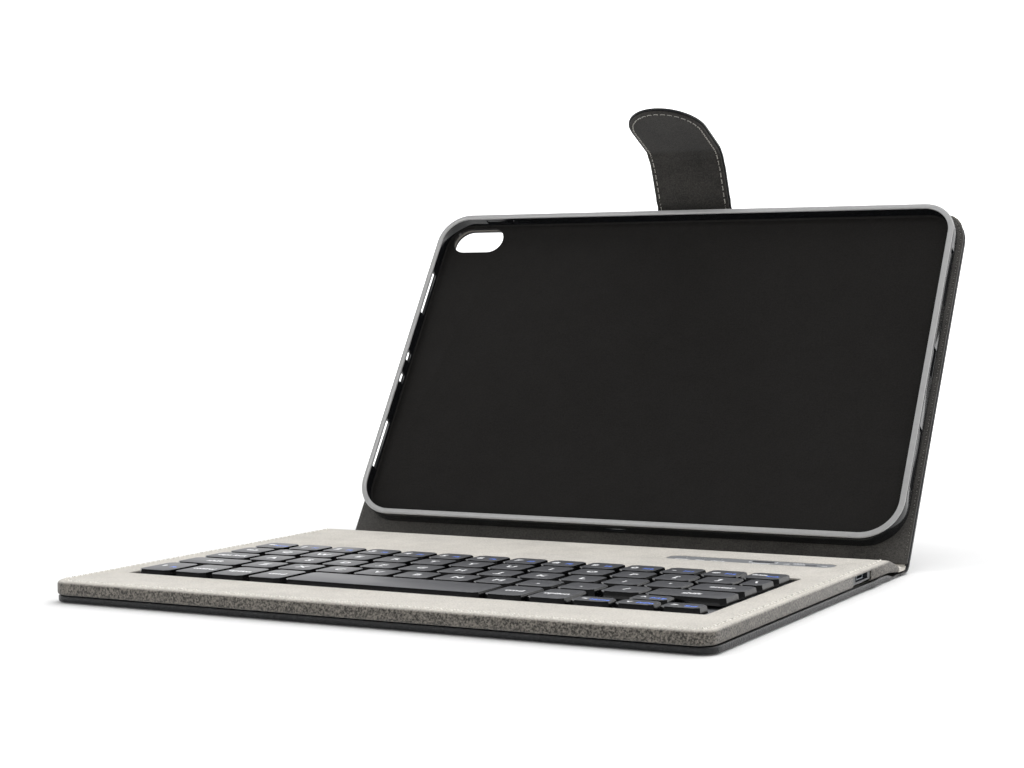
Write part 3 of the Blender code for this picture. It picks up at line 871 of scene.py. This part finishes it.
class CASE_OT_tab(PieceOperator, bpy.types.Operator):
    """Fold the closing tab from leather outside and suede inside"""
    bl_idname = "case.tab"
    bl_label = "Closing tab"

    def strip(self, name, s0, s1, n0, n1, margin, tip, finish, slot, nodes, turn):
        """One layer of one segment; the tip's end is round."""
        x = TAB_HALF - margin
        r = x - 0.01 if tip else 0
        outer = n0 < 0
        end = s1 - (margin if tip else 0)
        obj = slab(name, -x, x, s0, end, n0, n1, (0, 0, r, r), steps=16)
        edit()
        for level, width in ((n1, 0.22), (n0, 0.35 if outer else 0.0)):
            if width:
                choose("EDGE", lambda e: ends(e, lambda c: abs(c.z - level) < 0.01) and not (
                    ends(e, lambda c: abs(c.y - s0) < 0.01) or
                    (not tip and ends(e, lambda c: abs(c.y - end) < 0.01))))
                roll(width * MM, 2)
        leave()
        slices(obj, 1, steps_between(s0, end, 1.2))
        slices(obj, 0, steps_between(-x, x, 4.5))
        for v in obj.data.vertices:
            # the tab has been bent to and fro, so it stays slightly buckled at its creases
            place, s = v.co.x / MM, v.co.y / MM
            v.co.z += 0.3 * MM * (
                math.sin((s - 303) * 1.1 + place * 0.09) * math.exp(-((s - 304.5) / 4.0) ** 2)
                + 0.8 * math.sin((s - 328) * 0.8 - place * 0.05)
                * math.exp(-((s - 326.0) / 5.0) ** 2))
        seat(fold(obj), finish, nodes=nodes, turn=turn)

    def build(self, context):
        for key, s0, s1, turn in tab_parts():
            self.strip(f"tab_leather_{key}", s0, s1, -0.95, 0.25, 0.0, key == "tip", "leather",
                       "pu_leather", (f"tab_{key}_leather",), turn)
            self.strip(f"tab_suede_{key}", s0, s1, 0.25, 1.2, 0.7, key == "tip", "tab_suede",
                       "dark_suede", (f"tab_{key}_lining",), turn)


class CASE_OT_seams(PieceOperator, bpy.types.Operator):
    """Sew the seams along the lining, the back cover and the tab"""
    bl_idname = "case.seams"
    bl_label = "Seams"

    def build(self, context):
        deck = round_path(-127.8, 127.8, -92.7, 94.0, (5, 5, 2, 2))
        cover = round_path(-HALF + 1.6, HALF - 1.6, 125.0, TOP - 1.6, (1, 1, 15.4, 15.4))
        for name, path, height, finish, body, skip, more in (
                ("lining_seam", deck, 6.88 + THREAD_RISE, "thread", "keyboard_half",
                 lambda p: p.y > 92.5, {"stout": 1.2}),
                ("back_inner_seam", cover, 2.1, "dark_thread", "back_half",
                 lambda p: p.y < 126.5, {"stout": 0.65}),
                ("back_outer_seam", cover, -0.96 - THREAD_RISE, "dark_thread", "back_half",
                 lambda p: p.y < 126.5, {"side": -1})):
            seat(fold(seam(name, path, height, skip=skip, **more)), finish, body)
        inset = 2.3
        x, end = TAB_HALF - inset, TAB_END - inset
        r = x - 0.01
        arc = [Vector((math.cos(math.radians(a)) * x, end - r + math.sin(math.radians(a)) * r))
               for a in range(0, 181, 6)]
        around = [Vector((x, TOP + 4))] + arc + [Vector((-x, TOP + 4))]
        for n, tag, side in ((1.15 + THREAD_RISE, "inner", 1), (-0.9 - THREAD_RISE, "outer", -1)):
            for key, s0, s1, turn in tab_parts():
                obj = seam(f"tab_{tag}_seam_{key}", around, n, side,
                           skip=lambda p: not s0 <= p.y < s1)
                seat(fold(obj), "dark_thread", turn=turn)


ROWS = (
    ("key_escape", ["esc"]), ("number_keys", list("1234567890-=")), ("key_delete", ["delete"]),
    ("key_tab", ["tab"]), ("upper_letter_keys", list("QWERTYUIOP[]")), ("key_backslash", ["\\"]),
    ("key_caps_lock", ["caps lock"]), ("home_letter_keys", list("ASDFGHJKL;'")),
    ("key_enter", ["enter"]),
    ("key_shift_left", ["shift"]), ("lower_letter_keys", list("ZXCVBNM,./")),
    ("key_shift_right", ["shift"]),
    ("key_function", ["fn"]), ("key_control", ["control"]), ("key_option_left", ["option"]),
    ("key_command_left", ["cmd"]), ("key_space", [""]), ("key_command_right", ["cmd"]),
    ("key_option_right", ["option"]), ("key_arrow_left", ["<"]), ("key_arrow_down", ["v"]),
    ("key_arrow_up", ["^"]), ("key_arrow_right", [">"]))
SECOND = {mark: f"F{i}" for i, mark in enumerate("1234567890-=", 1)}
SECOND.update({"esc": "home", "delete": "lock", "^": "PgUp", "v": "PgDn", "<": "Home",
               ">": "End", "fn": "Fn"})
GAP = 1.9  # between one key and the next, in millimetres


def words(name, text, size, x, y, z, squeeze=1.0):
    """A printed word as a thin mesh, its middle at x, y."""
    bare()
    bpy.ops.object.text_add()
    obj = bpy.context.object
    obj.data.body = text
    obj.data.size = size * MM
    obj.data.align_x = obj.data.align_y = "CENTER"
    obj.data.resolution_u = 2
    obj.data.extrude = 0.012 * MM
    obj.data.offset = 0.042 * size * MM
    bpy.ops.object.convert(target="MESH")
    obj = bpy.context.object
    obj.data.transform(Matrix.Translation((x * MM, y * MM, z * MM)) @ Matrix.Diagonal(
        (squeeze, 1, 1, 1)))
    obj.name = obj.data.name = name
    return obj


class CASE_OT_keys(PieceOperator, bpy.types.Operator):
    """Mould the keycaps and print their letters"""
    bl_idname = "case.keys"
    bl_label = "Keys"

    def cap(self, x0, x1, y0, y1, z0, z1):
        """One keycap with cut-off corners, tapering to its top."""
        sizes = bpy.context.scene.case_sizes
        obj = slab("cap", x0, x1, y0, y1, z0, z1)
        edit()
        choose("EDGE", lambda e: abs(e.verts[0].co.z - e.verts[1].co.z) > 1 * MM)
        roll(sizes.cap_chamfer, 1)
        choose("FACE", lambda f: f.normal.z > 0.9)
        taper = 2 * sizes.cap_taper / MM
        middle = Vector(((x0 + x1) / 2, (y0 + y1) / 2, z1)) * MM
        bpy.ops.transform.resize(value=((x1 - x0 - taper) / (x1 - x0),
                                        (y1 - y0 - taper) / (y1 - y0), 1),
                                 center_override=middle)
        choose("EDGE", lambda e: ends(e, lambda c: c.z > z1 - 0.01))
        roll(0.28 * MM, 2, 0.6)
        leave()
        return obj

    def build(self, context):
        letter = context.scene.case_sizes.letter / MM
        for node, marks in ROWS:
            low, high = room(node)
            pitch = (high.x - low.x + GAP) / len(marks)
            body = node + "_body"
            z = high.z
            caps, white, blue = [], [], []
            for i, mark in enumerate(marks):
                x0 = low.x + i * pitch
                x1 = x0 + pitch - GAP
                caps.append(self.cap(x0, x1, low.y, high.y, low.z, z))
                cx, cy, wide = (x0 + x1) / 2, (low.y + high.y) / 2, x1 - x0
                second = SECOND.get(mark)
                if len(mark) > 1:
                    size = letter * 0.78
                    squeeze = min(1.0, (wide - 3.5) / (len(mark) * size * 0.5))
                    spot, up = cx, 0.0
                    if second:
                        spot, up, squeeze = cx - wide * 0.2, 1.5, min(squeeze, 0.55)
                    white.append(words("mark", mark, size, spot, cy + up, z, squeeze))
                elif mark:
                    size = letter if high.y - low.y > 12 else letter * 0.8
                    spot = cx - wide * 0.22 if second else cx
                    white.append(words("mark", mark, size, spot, cy, z))
                if second:
                    blue.append(words("mark", second, letter * 0.66, cx + wide * 0.2, cy - 1.0,
                                      z, 0.8))
                if mark in ("F", "J"):
                    white.append(slab("bar", cx - 1.6, cx + 1.6, cy - 3.6, cy - 3.2, z, z + 0.12))
            piece = join(node + "_caps", caps)
            seat(piece, "key", body, (node,), degrees=30)
            piece.data.materials.append(FINISH["key_side"])
            for face in piece.data.polygons:
                if face.normal.z < 0.9:
                    face.material_index = 1
            for tag, prints, finish in (("letters", white, "legend"), ("second", blue, "second")):
                if prints:
                    seat(join(f"{node}_{tag}", prints), finish, body)


class CASE_OT_controls(PieceOperator, bpy.types.Operator):
    """Make the strip's print, the pairing button and the power switch"""
    bl_idname = "case.controls"
    bl_label = "Function strip"

    def build(self, context):
        # fine bars stand on the bed between the keys and the lining
        pitch = 1.62
        bars = [slab("bar", 113.9, 116.6, -63.6 + pitch * i, -62.8 + pitch * i, 5.6, 6.75,
                     top=0.15, rolls=1) for i in range(58)]
        seat(join("bed_bars", bars), "strip", "keyboard_half")
        z = 7.75
        prints = []
        for x, text in ((55.0, "power"), (62.5, "caps"), (70.0, "charge"), (87.8, "connect"),
                        (97.5, "off"), (113.0, "on")):
            prints.append(words("mark", text, 2.6, x, 65.6 if x < 95 else 68.3, z, 0.85))
        rim = slab("rim", 82.0, 93.5, 66.9, 71.7, z, z + 0.05, (1.4,) * 4, steps=3)
        carve(rim, slab("in", 82.4, 93.1, 67.3, 71.3, z - 1, z + 1, (1.1,) * 4, steps=3))
        prints.append(rim)
        seat(join("strip_print", prints), "legend", "keyboard_half")
        low, high = room("pair_button")
        button = slab("pairing_button_cap", low.x, high.x, low.y, high.y, low.z, high.z,
                      (1.0,) * 4, steps=4, top=0.3)
        seat(button, "key", "pairing_button", ("pair_button",))
        low, high = room("power_switch_knob")
        ribs = [slab("knob", low.x, high.x, low.y, high.y, low.z, high.z - 0.25, top=0.1)]
        for i in range(4):
            x = low.x + 0.5 + i * (high.x - low.x - 1.0) / 3
            ribs.append(slab("rib", x - 0.22, x + 0.22, low.y + 0.2, high.y - 0.2, high.z - 0.4,
                             high.z, top=0.1, rolls=2))
        seat(join("power_switch_grip", ribs), "control", "power_switch",
             ("power_switch_knob",))


class CASE_OT_inner(PieceOperator, bpy.types.Operator):
    """Give the parts inside the case their finishes"""
    bl_idname = "case.inner"
    bl_label = "Inner parts"

    def build(self, context):
        for finish, nodes in {
                "board": ("front_cover_board", "back_cover_board", "tab_tip_filler"),
                "steel": ("catch_plate", "keyboard_base_plate"),
                "foam": ("key_membrane", "tray_adhesive"),
                "housing": ("keyboard_housing",), "foil": ("battery",),
                "circuit": ("controller_board",), "socket": ("usb_port",), "bezel": ("port_bezel",),
                "strip": ("indicator_strip",), "magnet": ("tab_magnet",),
                "acrylic": ("light_pipe_1", "light_pipe_2", "light_pipe_3")}.items():
            for node in nodes:
                mesh = frame["nodes"][node].data
                mesh.materials.clear()
                mesh.materials.append(FINISH[finish])


class CASE_PT_panel(bpy.types.Panel):
    """The case's pieces, in the 3D view's sidebar"""
    bl_label = "Tablet Keyboard Case"
    bl_space_type = "VIEW_3D"
    bl_region_type = "UI"
    bl_category = "Case"

    def draw(self, context):
        for group in (context.scene.case_sizes, context.scene.case_colours):
            box = self.layout.box()
            for name in group.__annotations__:
                box.prop(group, name)
        for operator in OPERATORS:
            self.layout.operator(operator.bl_idname)


OPERATORS = (CASE_OT_stage, CASE_OT_covers, CASE_OT_lining, CASE_OT_tray, CASE_OT_tab,
             CASE_OT_seams, CASE_OT_keys, CASE_OT_controls, CASE_OT_inner)
CLASSES = (CaseSizes, CaseColours) + OPERATORS + (CASE_PT_panel,)
FOLDS = []


def register():
    for cls in CLASSES:
        bpy.utils.register_class(cls)
    bpy.types.Scene.case_sizes = PointerProperty(type=CaseSizes)
    bpy.types.Scene.case_colours = PointerProperty(type=CaseColours)


def unregister():
    del bpy.types.Scene.case_sizes
    del bpy.types.Scene.case_colours
    for cls in reversed(CLASSES):
        bpy.utils.unregister_class(cls)


def main():
    """Builds every group in order."""
    register()
    for operator in OPERATORS:
        group, name = operator.bl_idname.split(".")
        getattr(getattr(bpy.ops, group), name)()


if __name__ == "__main__":
    main()
